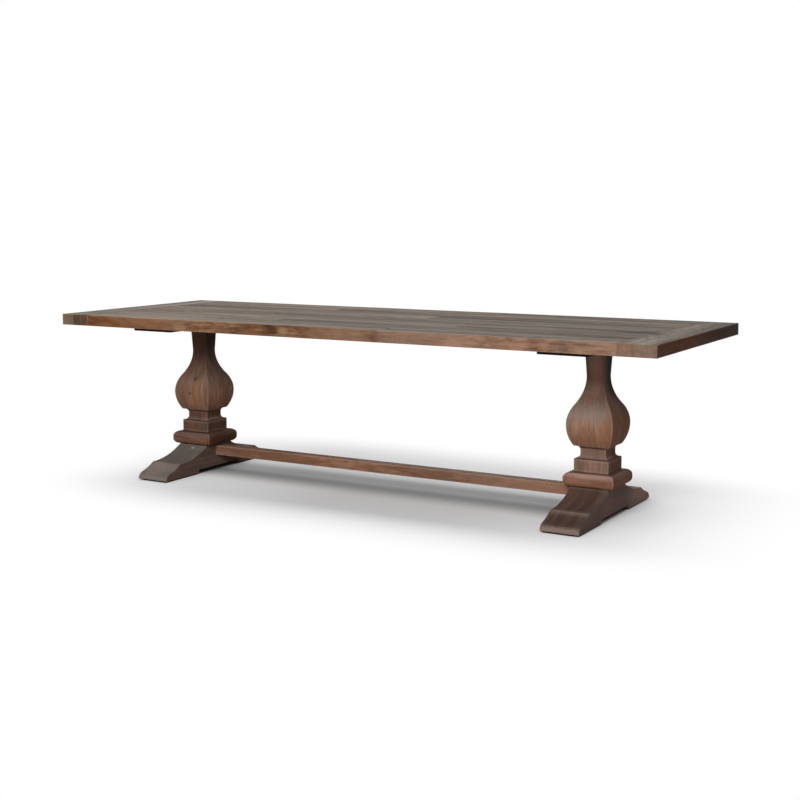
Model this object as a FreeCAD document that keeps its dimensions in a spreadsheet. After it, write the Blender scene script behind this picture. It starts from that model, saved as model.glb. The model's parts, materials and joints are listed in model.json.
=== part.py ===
import FreeCAD, Part
import math
import os
import re

import Sketcher

# Driving sizes in millimetres, counts and shares, one cell each.
SIZES = {
    # Whole table
    "table_length": 2800,
    "table_width": 1000,
    "table_height": 750,
    "cut_overrun": 5,
    # Tabletop boards
    "top_thickness": 48.5,
    "top_arris": 2,
    "seam_chamfer": 1,
    "end_width": 150,
    "left_outer_width": 65,
    "right_outer_width": 93,
    # Hidden joints of the top
    "spline_thickness": 8,
    "spline_depth": 14,
    "spline_gap": 0.3,
    "spline_stop": 30,
    "butt_dowel_diameter": 10,
    "butt_dowel_depth": 30,
    "dowel_gap": 0.2,
    # Mounting boards under the top
    "board_inset": 133,
    "board_width": 210,
    "board_thickness": 25,
    "board_arris": 2,
    "board_screw_diameter": 5,
    "board_screw_bite": 28,
    "board_screw_setback": 25,
    "screw_head_diameter": 11,
    "screw_head_height": 3.5,
    "screw_gap": 0.3,
    # Pedestal columns
    "end_overhang": 412,
    "column_top_width": 87,
    "waist_width": 73.6,
    "belly_width": 196.4,
    "bowl_width": 155,
    "lip_width": 147,
    "lip_height": 6,
    "lip_shelf": 3,
    "scotia_width": 107,
    "scotia_height": 51,
    "cove_width": 141,
    "belly_share": 0.308,
    "waist_share": 0.743,
    "shoulder_share": 0.41,
    # Base blocks and plinths
    "block_width": 146,
    "block_height": 53,
    "block_arris": 1.5,
    "plinth_width": 214,
    "plinth_height": 59,
    "plinth_round": 24,
    # Sled feet
    "foot_length": 773,
    "foot_width": 160,
    "foot_height": 117,
    "foot_top_length": 178,
    "sweep_radius": 373,
    "step_reach": 100.5,
    "step_height": 63.5,
    "step_radius": 240,
    "toe_reach": 28,
    "toe_height": 31.5,
    "crown_radius": 50,
    "crown_reach_share": 0.11,
    "nose_radius": 20,
    "nose_height": 3,
    "nose_tuck": 2.5,
    "relief_length": 300,
    "relief_height": 15,
    # Tie rods, nuts and washers
    "rod_diameter": 10,
    "rod_gap": 1,
    "rod_tail": 2,
    "thread_gap": 0.2,
    "nut_width": 17,
    "nut_height": 8,
    "washer_diameter": 24,
    "washer_thickness": 2,
    "recess_gap": 1.5,
    "foot_recess": 25,
    "board_recess": 13,
    # Pedestal dowels
    "dowel_diameter": 12,
    "dowel_depth": 15,
    "dowel_spread": 54,
    # Stretcher
    "stretcher_depth": 50,
    "stretcher_height": 44,
    "stretcher_arris": 2,
    "stretcher_rise": 72,
    "tenon_depth": 30,
    "tenon_height": 24,
    "tenon_length": 45,
    "tenon_gap": 0.3,
    "stretcher_screw_diameter": 5,
    "stretcher_screw_bite": 18,
    # Glides
    "glide_diameter": 26,
    "glide_height": 5,
    "glide_round": 1.5,
    "glide_pin_diameter": 4,
    "glide_pin_length": 12,
    "glide_inset": 26,
    "glide_setback": 40,
}

# Rows of planks, and where each row is butted, front row first, as shares of the plank run.
PLANK_ROWS = 7
butt_seam_shares = (0.604, 0.36, 0.68, 0.45, 0.57, 0.33, 0.64)
butt_dowel_shares = (0.25, 0.75)

# Levels and places that several pieces share
TOP_UNDERSIDE = "(table_height - top_thickness)"
BOARD_UNDERSIDE = f"({TOP_UNDERSIDE} - board_thickness)"
PLINTH_BASE = "(glide_height + foot_height)"
BLOCK_BASE = f"({PLINTH_BASE} + plinth_height)"
COLUMN_BASE = f"({BLOCK_BASE} + block_height)"
COLUMN_HEIGHT = f"({BOARD_UNDERSIDE} - {COLUMN_BASE})"
PLANK_RUN = "(table_length - 2 * end_width)"
PLANK_WIDTH = f"(table_width / {PLANK_ROWS})"
GROOVE_LOW = "((top_thickness - spline_thickness) / 2 - spline_gap)"
GROOVE_HEIGHT = "(spline_thickness + 2 * spline_gap)"
GROOVE_DEPTH = "(spline_depth + spline_gap)"
BOARD_LENGTH = "(table_width - 2 * board_inset)"
SCREW_REACH = "(board_width / 2 - board_screw_setback)"
RELIEF_CEILING = "(glide_height + relief_height)"
PEDESTAL_X = "(table_length / 2 - end_overhang)"
INNER_FACE = f"({PEDESTAL_X} - foot_width / 2)"
CROWN_END = ("foot_length / 2 - crown_reach_share * toe_reach", "relief_height")
GLIDE_ACROSS = "(foot_width / 2 - glide_inset)"
GLIDE_ALONG = "(foot_length / 2 - glide_setback)"
SIDES = {"left": "-", "right": ""}

document = FreeCAD.newDocument("trestle_table")
sheet = document.addObject("Spreadsheet::Sheet", "sizes")
for row, (size_name, number) in enumerate(SIZES.items(), start=1):
    sheet.set(f"A{row}", size_name)
    sheet.set(f"B{row}", str(number))
    sheet.setAlias(f"B{row}", size_name)
document.recompute()

nodes = []


def cell_words(expression):
    """The expression with every size name pointing at its cell in the sheet."""
    def point(word):
        return "sizes." + word.group() if word.group() in SIZES else word.group()
    return re.sub(r"[a-z_]+", point, expression)


def value(expression):
    """The number that an expression of sizes gives now."""
    return float(sheet.evalExpression(cell_words(expression)))


def bind(thing, **properties):
    """Tie properties to expressions; x, y and z stand for the placement."""
    for name, expression in properties.items():
        path = "Placement.Base." + name if name in ("x", "y", "z") else name
        thing.setExpression(path, cell_words(expression))
    return thing


def node(thing, label):
    """Name a finished piece and keep it for export."""
    thing.Label = label
    nodes.append(thing)
    return thing


# Outlines and blanks

PLANES = {
    "XZ": FreeCAD.Rotation(FreeCAD.Vector(1, 0, 0), 90),
    "YZ": FreeCAD.Rotation(FreeCAD.Vector(1, 1, 1), 120),
}
AXES = {
    "X": FreeCAD.Rotation(FreeCAD.Vector(0, 1, 0), 90),
    "Z": FreeCAD.Rotation(),
}
ENDS = {
    "front": FreeCAD.Rotation(FreeCAD.Vector(0, 0, 1), 180),
    "back": FreeCAD.Rotation(),
}


def arc_between(start, end, radius, turn):
    """Arc under a half circle from start to end that turns left or right."""
    chord = end - start
    rise = math.sqrt(radius ** 2 - (chord.Length / 2) ** 2)
    left = FreeCAD.Vector(-chord.y, chord.x, 0).normalize()
    centre = (start + end) / 2 + left * (rise if turn == "left" else -rise)
    first, last = (start, end) if turn == "left" else (end, start)
    angles = [math.atan2(spot.y - centre.y, spot.x - centre.x) for spot in (first, last)]
    circle = Part.Circle(centre, FreeCAD.Vector(0, 0, 1), radius)
    return Part.ArcOfCircle(circle, *angles)


def outline(plane, corners):
    """Closed sketch through corners (across, up), each with the arc that leaves it, if any."""
    sketch = document.addObject("Sketcher::SketchObject", "outline")
    sketch.Placement = FreeCAD.Placement(FreeCAD.Vector(), PLANES[plane])
    spots = [FreeCAD.Vector(value(corner[0]), value(corner[1]), 0) for corner in corners]
    starts = []
    for index, corner in enumerate(corners):
        start, end = spots[index], spots[(index + 1) % len(spots)]
        if len(corner) == 2:
            sketch.addGeometry(Part.LineSegment(start, end))
            starts.append(1)
        else:
            sketch.addGeometry(arc_between(start, end, value(corner[2]), corner[3]))
            starts.append(1 if corner[3] == "left" else 2)
    for index in range(len(corners)):
        following = (index + 1) % len(corners)
        ends = (index, 3 - starts[index], following, starts[following])
        sketch.addConstraint(Sketcher.Constraint("Coincident", *ends))
    for index, corner in enumerate(corners):
        pinned = [("DistanceX", corner[0], spots[index].x), ("DistanceY", corner[1], spots[index].y)]
        for kind, expression, size in pinned:
            spot = (-1, 1, index, starts[index])
            place = sketch.addConstraint(Sketcher.Constraint(kind, *spot, size))
            sketch.setExpression(f"Constraints[{place}]", cell_words(expression))
        if len(corner) > 2:
            place = sketch.addConstraint(Sketcher.Constraint("Radius", index, value(corner[2])))
            sketch.setExpression(f"Constraints[{place}]", cell_words(corner[2]))
    return sketch


def both_sides(half):
    """Close a right-hand half outline, drawn upwards, with its mirror image."""
    mirrored = []
    for index in reversed(range(len(half))):
        across, up = half[index][:2]
        arc = half[index - 1][2:] if index else ()
        mirrored.append((f"-({across})", up, *arc))
    return half + mirrored


def extruded(sketch, length, symmetric=True):
    """Blank swept square to its sketch."""
    blank = document.addObject("Part::Extrusion", "blank")
    blank.Base = sketch
    blank.DirMode = "Normal"
    blank.Solid = True
    blank.Symmetric = symmetric
    return bind(blank, LengthFwd=length)


def mitred(across_x, across_y, length_y, length_x):
    """Blank whose section follows one outline from the front and one from the end."""
    blank = document.addObject("Part::Common", "mitred")
    blank.Base = extruded(outline("XZ", across_x), length_y)
    blank.Tool = extruded(outline("YZ", across_y), length_x)
    return blank


def eased(low, high, height, bottom, top, low_side=True, high_side=True):
    """Rectangular outline with its bottom and top arrises taken off on the chosen sides."""
    corners = []
    if high_side:
        corners += [(f"{high} - {bottom}", "0"), (high, bottom)]
    else:
        corners += [(high, "0")]
    corners += [(high, f"{height} - {top[1]}"), (f"{high} - {top[1]}", height)]
    corners += [(f"{low} + {top[0]}", height), (low, f"{height} - {top[0]}")]
    if low_side:
        corners += [(low, bottom), (f"{low} + {bottom}", "0")]
    else:
        corners += [(low, "0")]
    return corners


# Cuts, fasteners and groups


def block(spans, x, y, z):
    """Plain box with its low corner at x, y, z."""
    thing = document.addObject("Part::Box", "box")
    return bind(thing, Length=spans[0], Width=spans[1], Height=spans[2], x=x, y=y, z=z)


def rod(diameter, length, x, y, z, along="Z"):
    """Round bar or bore that starts at x, y, z."""
    thing = document.addObject("Part::Cylinder", "rod")
    thing.Placement = FreeCAD.Placement(FreeCAD.Vector(), AXES[along])
    return bind(thing, Radius=f"({diameter}) / 2", Height=length, x=x, y=y, z=z)


def without(blank, tools):
    """The blank with the tools cut out of it."""
    piece = document.addObject("Part::Cut", "piece")
    piece.Base = blank
    piece.Tool = tools[0]
    if len(tools) > 1:
        piece.Tool = document.addObject("Part::MultiFuse", "tools")
        piece.Tool.Shapes = tools
    return piece


def joined(first, second):
    """Two solids as one."""
    piece = document.addObject("Part::Fuse", "joined")
    piece.Base = first
    piece.Tool = second
    return piece


def group(label, members):
    """Separate solids that share one node."""
    gathered = document.addObject("Part::Compound", "group")
    gathered.Links = members
    return node(gathered, label)


def screw(diameter, length, x, y, z):
    """Pan head screw driven upwards, its head under z and its shank above."""
    shank = rod(diameter, f"{length} + screw_head_height", x, y, f"{z} - screw_head_height")
    head = rod("screw_head_diameter", "screw_head_height", x, y, f"{z} - screw_head_height")
    return joined(shank, head)


# Tabletop


def plank_outline(row):
    """Plank section with a groove in each edge that meets another plank."""
    last = PLANK_ROWS - 1
    groove_top = f"{GROOVE_LOW} + {GROOVE_HEIGHT}"
    front_top = "seam_chamfer" if row else "top_arris"
    back_top = "seam_chamfer" if row < last else "top_arris"
    corners = eased("0", PLANK_WIDTH, "top_thickness", "top_arris", (front_top, back_top),
                    low_side=row == 0, high_side=row == last)
    if row < last:
        inside = f"{PLANK_WIDTH} - {GROOVE_DEPTH}"
        groove = [(PLANK_WIDTH, GROOVE_LOW), (inside, GROOVE_LOW),
                  (inside, groove_top), (PLANK_WIDTH, groove_top)]
        corners[1:1] = groove
    if row:
        groove = [("0", groove_top), (GROOVE_DEPTH, groove_top),
                  (GROOVE_DEPTH, GROOVE_LOW), ("0", GROOVE_LOW)]
        corners[-1:-1] = groove
    return corners


def rows_with_screws():
    """Rows whose middle lies far enough inside the mounting boards to take their screws."""
    reach = value(f"{BOARD_LENGTH} / 2 - board_screw_setback")
    middle = (PLANK_ROWS - 1) / 2
    pitch = value(PLANK_WIDTH)
    return [row for row in range(PLANK_ROWS) if abs(row - middle) * pitch <= reach]


def seam_share(row):
    """Where a row is butted; rows past the end of the table of shares start it again."""
    return butt_seam_shares[row % len(butt_seam_shares)]


def row_front(row):
    """Front edge of a row, from the middle of the table."""
    return f"({row} * {PLANK_WIDTH} - table_width / 2)"


def row_middle(row):
    """Middle line of a row."""
    return f"({row_front(row)} + {PLANK_WIDTH} / 2)"


def stave(row, side):
    """One stave of a row, from its butt joint out to the end boards."""
    last = PLANK_ROWS - 1
    seam = f"({seam_share(row)} * {PLANK_RUN})"
    length = seam if side == "left" else f"({PLANK_RUN} - {seam})"
    start = f"(-{PLANK_RUN} / 2)" if side == "left" else f"({seam} - {PLANK_RUN} / 2)"
    blank = extruded(outline("YZ", plank_outline(row)), length, symmetric=False)

    groove_start = "-cut_overrun" if row else "spline_stop - spline_gap"
    groove_end = f"{PLANK_WIDTH} + cut_overrun"
    if row == last:
        groove_end = f"{PLANK_WIDTH} - spline_stop + spline_gap"
    groove_span = (f"{GROOVE_DEPTH} + cut_overrun", f"({groove_end}) - ({groove_start})", GROOVE_HEIGHT)
    groove_x = "-cut_overrun" if side == "left" else f"{length} - {GROOVE_DEPTH}"
    tools = [block(groove_span, groove_x, groove_start, GROOVE_LOW)]

    bore = "butt_dowel_diameter + 2 * dowel_gap"
    depth = "butt_dowel_depth + dowel_gap"
    bore_x = f"{length} - {depth}" if side == "left" else "-cut_overrun"
    for share in butt_dowel_shares:
        across = f"{share} * {PLANK_WIDTH}"
        tools.append(rod(bore, f"{depth} + cut_overrun", bore_x, across, "top_thickness / 2", "X"))
    if row in rows_with_screws():
        for edge in ("-", "+"):
            screw_x = f"{SIDES[side]}{PEDESTAL_X} {edge} {SCREW_REACH} - {start}"
            hole = ("board_screw_diameter + 2 * screw_gap", "board_screw_bite + screw_gap + cut_overrun")
            tools.append(rod(*hole, screw_x, f"{PLANK_WIDTH} / 2", "-cut_overrun"))
    plank = bind(without(blank, tools), x=start, y=row_front(row), z=TOP_UNDERSIDE)
    return node(plank, f"plank_{row + 1}_{side}")


def end_board(side, place):
    """Cross board at one end of the top; place is inner, beside the planks, or outer."""
    outer_width = f"{side}_outer_width"
    width = outer_width if place == "outer" else f"(end_width - {outer_width})"
    inner_edge = f"({PLANK_RUN} / 2)" if place == "inner" else f"(table_length / 2 - {outer_width})"
    start = inner_edge if side == "right" else f"(-{inner_edge} - {width})"
    free_left, free_right = (place == "outer" and side == edge for edge in SIDES)
    tops = tuple("top_arris" if free else "seam_chamfer" for free in (free_left, free_right))
    section = eased("0", width, "top_thickness", "top_arris", tops,
                    low_side=free_left, high_side=free_right)
    along = eased("(-table_width / 2)", "(table_width / 2)", "top_thickness", "top_arris",
                  ("top_arris", "top_arris"))
    blank = mitred(section, along, "table_width", f"2 * {width} + cut_overrun")

    span = (f"{GROOVE_DEPTH} + cut_overrun", "table_width - 2 * (spline_stop - spline_gap)", GROOVE_HEIGHT)
    groove_y = "spline_stop - spline_gap - table_width / 2"
    tools = []
    if not free_left:
        tools.append(block(span, "-cut_overrun", groove_y, GROOVE_LOW))
    if not free_right:
        tools.append(block(span, f"{width} - {GROOVE_DEPTH}", groove_y, GROOVE_LOW))
    board = bind(without(blank, tools), x=start, z=TOP_UNDERSIDE)
    return node(board, f"{side}_{place}_end_board")


def top_splines():
    """Loose tongues of the plank seams and of the end board seams."""
    level = f"{TOP_UNDERSIDE} + (top_thickness - spline_thickness) / 2"
    length = f"{PLANK_RUN} - 2 * ({GROOVE_DEPTH} + spline_gap)"
    span = (length, "2 * spline_depth", "spline_thickness")
    strips = []
    for row in range(1, PLANK_ROWS):
        strips.append(block(span, f"-({length}) / 2", f"{row_front(row)} - spline_depth", level))
    group("plank_splines", strips)

    span = ("2 * spline_depth", "table_width - 2 * spline_stop", "spline_thickness")
    strips = []
    for side, sign in SIDES.items():
        for seam in (f"{PLANK_RUN} / 2", f"(table_length / 2 - {side}_outer_width)"):
            spot = (f"{sign}({seam}) - spline_depth", "spline_stop - table_width / 2", level)
            strips.append(block(span, *spot))
    group("end_splines", strips)


def butt_dowels():
    """Dowels across the butt joints of the rows."""
    dowels = []
    for row in range(PLANK_ROWS):
        seam = f"({seam_share(row)} - 1 / 2) * {PLANK_RUN}"
        for share in butt_dowel_shares:
            spot = (f"{seam} - butt_dowel_depth", f"{row_front(row)} + {share} * {PLANK_WIDTH}",
                    f"{TOP_UNDERSIDE} + top_thickness / 2")
            dowels.append(rod("butt_dowel_diameter", "2 * butt_dowel_depth", *spot, "X"))
    group("butt_dowels", dowels)


# Pedestals


def dowel_holes(level, depth):
    """Two blind holes for the pedestal dowels, from a face at level into the piece."""
    bore = "dowel_diameter + 2 * dowel_gap"
    start = level if depth == "up" else f"{level} - dowel_depth - dowel_gap"
    holes = []
    for sign in ("-", ""):
        holes.append(rod(bore, "dowel_depth + dowel_gap", "0", f"{sign}dowel_spread / 2", start))
    return holes


def rod_bore(height):
    """Bore for the tie rod right through a piece of this height."""
    return rod("rod_diameter + 2 * rod_gap", f"{height} + 2 * cut_overrun", "0", "0", "-cut_overrun")


def mounting_board(side):
    """Board screwed under the top, with a recess for the tie rod's nut in its upper face."""
    section = eased("(-board_width / 2)", "(board_width / 2)", "board_thickness", "board_arris",
                    ("board_arris", "board_arris"))
    along = eased(f"(-{BOARD_LENGTH} / 2)", f"({BOARD_LENGTH} / 2)", "board_thickness", "board_arris",
                  ("board_arris", "board_arris"))
    blank = mitred(section, along, BOARD_LENGTH, "board_width")
    recess = rod("washer_diameter + 2 * recess_gap", "board_recess + cut_overrun", "0", "0",
                 "board_thickness - board_recess")
    tools = [rod_bore("board_thickness"), recess] + dowel_holes("0", "up")
    for row in rows_with_screws():
        for edge in ("-", ""):
            hole = ("board_screw_diameter + 2 * screw_gap", "board_thickness + 2 * cut_overrun")
            tools.append(rod(*hole, f"{edge}{SCREW_REACH}", row_middle(row), "-cut_overrun"))
    board = without(blank, tools)
    bind(board, x=f"{SIDES[side]}{PEDESTAL_X}", z=BOARD_UNDERSIDE)
    return node(board, f"{side}_mounting_board")


def column_half():
    """Right-hand half of the column's outline, from its foot to its head."""
    belly_level = f"(belly_share * {COLUMN_HEIGHT})"
    waist_level = f"(waist_share * {COLUMN_HEIGHT})"
    bowl_level = "(scotia_height + lip_height)"
    cove_radius = "((cove_width - scotia_width) / 2)"
    lip_radius = "((lip_width - scotia_width) / 2 - lip_shelf)"
    bowl_swell = "((belly_width - bowl_width) / 2)"
    bowl_rise = f"({belly_level} - {bowl_level})"
    bowl_radius = f"(({bowl_swell} ^ 2 + {bowl_rise} ^ 2) / (2 * {bowl_swell}))"
    draw_in = "((belly_width - waist_width) / 2)"
    draw_rise = f"({waist_level} - {belly_level})"
    both_radii = f"(({draw_in} ^ 2 + {draw_rise} ^ 2) / (2 * {draw_in}))"
    turning = (f"belly_width / 2 - shoulder_share * {draw_in}",
               f"{belly_level} + shoulder_share * {draw_rise}")
    return [
        ("cove_width / 2", "0", cove_radius, "right"),
        ("scotia_width / 2", cove_radius),
        ("scotia_width / 2", f"scotia_height - {lip_radius}", lip_radius, "right"),
        (f"scotia_width / 2 + {lip_radius}", "scotia_height"),
        ("lip_width / 2", "scotia_height"),
        ("bowl_width / 2", bowl_level, bowl_radius, "left"),
        ("belly_width / 2", belly_level, f"shoulder_share * {both_radii}", "left"),
        (*turning, f"(1 - shoulder_share) * {both_radii}", "right"),
        ("waist_width / 2", waist_level),
        ("column_top_width / 2", COLUMN_HEIGHT),
    ]


def plinth_half():
    """Right-hand half of the plinth's outline, rounded below and above."""
    return [
        ("plinth_width / 2 - plinth_round", "0", "plinth_round", "left"),
        ("plinth_width / 2", "plinth_round"),
        ("plinth_width / 2", "plinth_height - plinth_round", "plinth_round", "left"),
        ("plinth_width / 2 - plinth_round", "plinth_height"),
    ]


def foot_half():
    """Right-hand half of the foot's outline above its pads: toe, step and sweep."""
    toe_end = "foot_length / 2"
    return [
        (*CROWN_END, "crown_radius", "left"),
        (f"{toe_end} - toe_reach", "toe_height", "step_radius", "right"),
        (f"{toe_end} - step_reach", "step_height", "sweep_radius", "right"),
        ("foot_top_length / 2", "foot_height"),
    ]


def pad_outline():
    """Pad under a toe, as thick as the relief is high, with the foot's nose at its outer end."""
    toe_end = "foot_length / 2"
    return [
        ("relief_length / 2", "relief_height"),
        ("relief_length / 2", "0"),
        (f"{toe_end} - nose_tuck", "0"),
        (toe_end, "nose_height", "nose_radius", "left"),
        CROWN_END,
    ]


def square_blank(half, width):
    """Blank with the same outline from the front and from the end."""
    return mitred(both_sides(half), both_sides(half), width, width)


def pedestal(side):
    """Column, base block, plinth and foot of one pedestal."""
    centre = f"{SIDES[side]}{PEDESTAL_X}"
    blank = square_blank(column_half(), "belly_width")
    tools = [rod_bore(COLUMN_HEIGHT)] + dowel_holes("0", "up") + dowel_holes(COLUMN_HEIGHT, "down")
    node(bind(without(blank, tools), x=centre, z=COLUMN_BASE), f"{side}_column")

    edges = ("(-block_width / 2)", "(block_width / 2)", "block_height", "block_arris")
    section = eased(*edges, ("block_arris", "block_arris"))
    blank = mitred(section, section, "block_width", "block_width")
    tools = [rod_bore("block_height")] + dowel_holes("0", "up") + dowel_holes("block_height", "down")
    node(bind(without(blank, tools), x=centre, z=BLOCK_BASE), f"{side}_base_block")

    blank = square_blank(plinth_half(), "plinth_width")
    tools = [rod_bore("plinth_height")] + dowel_holes("0", "up") + dowel_holes("plinth_height", "down")
    node(bind(without(blank, tools), x=centre, z=PLINTH_BASE), f"{side}_plinth")

    blank = extruded(outline("YZ", both_sides(foot_half())), "foot_width")
    tools = [rod_bore("foot_height")] + dowel_holes("foot_height", "down") + foot_cuts(side)
    node(bind(without(blank, tools), x=centre, z="glide_height"), f"{side}_foot")
    for end in ENDS:
        foot_pad(side, end)


def foot_pad(side, end):
    """Pad glued under one toe of a foot, with the pin holes of its two glides."""
    blank = extruded(outline("YZ", pad_outline()), "foot_width")
    hole = ("glide_pin_diameter + 2 * screw_gap", "glide_pin_length + screw_gap + cut_overrun")
    holes = [rod(*hole, sign + GLIDE_ACROSS, GLIDE_ALONG, "-cut_overrun") for sign in ("-", "")]
    pad = without(blank, holes)
    pad.Placement = FreeCAD.Placement(FreeCAD.Vector(), ENDS[end])
    bind(pad, x=f"{SIDES[side]}{PEDESTAL_X}", z="glide_height")
    return node(pad, f"{side}_{end}_foot_pad")


def foot_cuts(side):
    """Nut recess, stretcher mortise and screw holes of a foot."""
    recess = rod("washer_diameter + 2 * recess_gap", "relief_height + foot_recess", "0", "0", "0")
    mortise_depth = "(tenon_length + tenon_gap)"
    span = (f"{mortise_depth} + cut_overrun", "tenon_depth + 2 * tenon_gap", "tenon_height + 2 * tenon_gap")
    inside = "-(foot_width / 2 + cut_overrun)" if side == "right" else f"foot_width / 2 - {mortise_depth}"
    level = "stretcher_rise + (stretcher_height - tenon_height) / 2 - tenon_gap - glide_height"
    cuts = [recess, block(span, inside, "-(tenon_depth / 2 + tenon_gap)", level)]
    towards = "-" if side == "right" else ""
    for sign in ("-", ""):
        hole = ("stretcher_screw_diameter + 2 * screw_gap", f"{level} + tenon_gap")
        cuts.append(rod(*hole, f"{towards}(foot_width - tenon_length) / 2", f"{sign}tenon_depth / 4", "0"))
    return cuts


def glide_spots():
    """Places of the four glides under a foot, from its middle."""
    signs = ("-", "")
    return [(left + GLIDE_ACROSS, front + GLIDE_ALONG) for left in signs for front in signs]


def stretcher():
    """Rail between the feet with a stub tenon at each end."""
    shoulders = f"2 * {INNER_FACE}"
    section = eased("(-stretcher_depth / 2)", "(stretcher_depth / 2)", "stretcher_height", "stretcher_arris",
                    ("stretcher_arris", "stretcher_arris"))
    rail = extruded(outline("YZ", section), shoulders)
    length = f"{shoulders} + 2 * tenon_length"
    level = "(stretcher_height - tenon_height) / 2"
    tenons = block((length, "tenon_depth", "tenon_height"), f"-({length}) / 2", "-tenon_depth / 2", level)
    tools = []
    for sign in SIDES.values():
        for across in ("-", ""):
            hole = ("stretcher_screw_diameter + 2 * screw_gap", "stretcher_screw_bite + screw_gap")
            spot = (f"{sign}({INNER_FACE} + tenon_length / 2)", f"{across}tenon_depth / 4", level)
            tools.append(rod(*hole, *spot))
    rail = without(joined(rail, tenons), tools)
    return node(bind(rail, z="stretcher_rise"), "stretcher")


# Fasteners and small parts


def tie_rods():
    """A threaded rod through each pedestal with a washer and a nut at each end."""
    foot_seat = f"({RELIEF_CEILING} + foot_recess)"
    board_seat = f"({TOP_UNDERSIDE} - board_recess)"
    stack = "(washer_thickness + nut_height + rod_tail)"
    washers = []
    nuts = []
    for side, sign in SIDES.items():
        centre = f"{sign}{PEDESTAL_X}"
        bottom = f"{foot_seat} - {stack}"
        bar = rod("rod_diameter", f"{board_seat} + {stack} - ({bottom})", centre, "0", bottom)
        node(bar, f"{side}_tie_rod")
        for level in (f"{foot_seat} - washer_thickness", board_seat):
            bore = rod("rod_diameter + 2 * rod_gap", "washer_thickness", centre, "0", level)
            washers.append(without(rod("washer_diameter", "washer_thickness", centre, "0", level), [bore]))
        for level in (f"{foot_seat} - washer_thickness - nut_height", f"{board_seat} + washer_thickness"):
            hexagon = document.addObject("Part::Prism", "hexagon")
            hexagon.Polygon = 6
            bind(hexagon, Circumradius="nut_width / sqrt(3)", Height="nut_height", x=centre, z=level)
            bore = rod("rod_diameter + 2 * thread_gap", "nut_height", centre, "0", level)
            nuts.append(without(hexagon, [bore]))
    group("tie_rod_washers", washers)
    group("tie_rod_nuts", nuts)


def pedestal_dowels():
    """Dowels in the faces where the pieces of a pedestal meet."""
    dowels = []
    for sign in SIDES.values():
        for level in (PLINTH_BASE, BLOCK_BASE, COLUMN_BASE, BOARD_UNDERSIDE):
            for across in ("-", ""):
                spot = (f"{sign}{PEDESTAL_X}", f"{across}dowel_spread / 2", f"{level} - dowel_depth")
                dowels.append(rod("dowel_diameter", "2 * dowel_depth", *spot))
    group("pedestal_dowels", dowels)


def screws():
    """Screws of the mounting boards and of the stretcher's tenons."""
    board_screws = []
    tenon_screws = []
    tenon_level = "stretcher_rise + (stretcher_height - tenon_height) / 2"
    tenon_screw_length = f"{tenon_level} + stretcher_screw_bite - {RELIEF_CEILING}"
    board_screw_length = "board_thickness + board_screw_bite"
    for sign in SIDES.values():
        for row in rows_with_screws():
            for edge in ("-", "+"):
                spot = (f"{sign}{PEDESTAL_X} {edge} {SCREW_REACH}", row_middle(row), BOARD_UNDERSIDE)
                board_screws.append(screw("board_screw_diameter", board_screw_length, *spot))
        for across in ("-", ""):
            spot = (f"{sign}({INNER_FACE} + tenon_length / 2)", f"{across}tenon_depth / 4", RELIEF_CEILING)
            tenon_screws.append(screw("stretcher_screw_diameter", tenon_screw_length, *spot))
    group("mounting_screws", board_screws)
    group("stretcher_screws", tenon_screws)


def glides():
    """Nailed glides under the toes of both feet."""
    members = []
    for sign in SIDES.values():
        for x, y in glide_spots():
            spot = (f"{sign}{PEDESTAL_X} + {x}", y)
            disc = rod("glide_diameter", "glide_height - glide_round", *spot, "glide_round")
            sole = document.addObject("Part::Cone", "sole")
            bind(sole, Radius1="glide_diameter / 2 - glide_round", Radius2="glide_diameter / 2",
                 Height="glide_round", x=spot[0], y=spot[1])
            pin = rod("glide_pin_diameter", "glide_pin_length", *spot, "glide_height")
            members.append(joined(joined(disc, sole), pin))
    group("foot_glides", members)


for row in range(PLANK_ROWS):
    for side in SIDES:
        stave(row, side)
for side in SIDES:
    for place in ("inner", "outer"):
        end_board(side, place)
    mounting_board(side)
    pedestal(side)
top_splines()
butt_dowels()
stretcher()
tie_rods()
pedestal_dowels()
screws()
glides()
document.recompute()

# Every object has to be sound before a file is written.
for thing in document.Objects:
    if "Invalid" in thing.State or "Error" in thing.State:
        raise RuntimeError(f"{thing.Label} failed: {thing.State}")
for piece in nodes:
    if piece.Shape.isNull() or not piece.Shape.isValid() or not piece.Shape.Solids:
        raise RuntimeError(f"{piece.Label} has no sound solid")

os.makedirs("parts", exist_ok=True)
for piece in nodes:
    piece.Shape.exportStep(f"parts/{piece.Label}.step")
    print(piece.Label, len(piece.Shape.Solids), round(piece.Shape.Volume))
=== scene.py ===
import json
import math

import bmesh
import bpy
from mathutils import Euler, Matrix, Vector, noise


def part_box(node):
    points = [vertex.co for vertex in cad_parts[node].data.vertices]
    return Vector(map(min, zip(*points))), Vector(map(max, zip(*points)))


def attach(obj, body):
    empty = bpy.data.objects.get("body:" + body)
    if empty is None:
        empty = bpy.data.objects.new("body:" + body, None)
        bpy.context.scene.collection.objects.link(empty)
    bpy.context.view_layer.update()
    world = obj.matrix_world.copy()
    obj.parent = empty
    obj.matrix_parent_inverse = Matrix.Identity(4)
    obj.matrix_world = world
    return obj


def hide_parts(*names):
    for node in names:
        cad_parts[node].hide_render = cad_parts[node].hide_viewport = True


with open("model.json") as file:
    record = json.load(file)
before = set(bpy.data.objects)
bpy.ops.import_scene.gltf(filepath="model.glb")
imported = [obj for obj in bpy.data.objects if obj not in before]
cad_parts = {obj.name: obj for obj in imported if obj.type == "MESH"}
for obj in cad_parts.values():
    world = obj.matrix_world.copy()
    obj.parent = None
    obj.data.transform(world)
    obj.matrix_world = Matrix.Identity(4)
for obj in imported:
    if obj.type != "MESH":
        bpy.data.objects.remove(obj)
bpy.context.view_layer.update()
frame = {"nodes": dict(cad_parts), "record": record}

SIDES = ("left", "right")
PLANK_ROWS = 7

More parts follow.
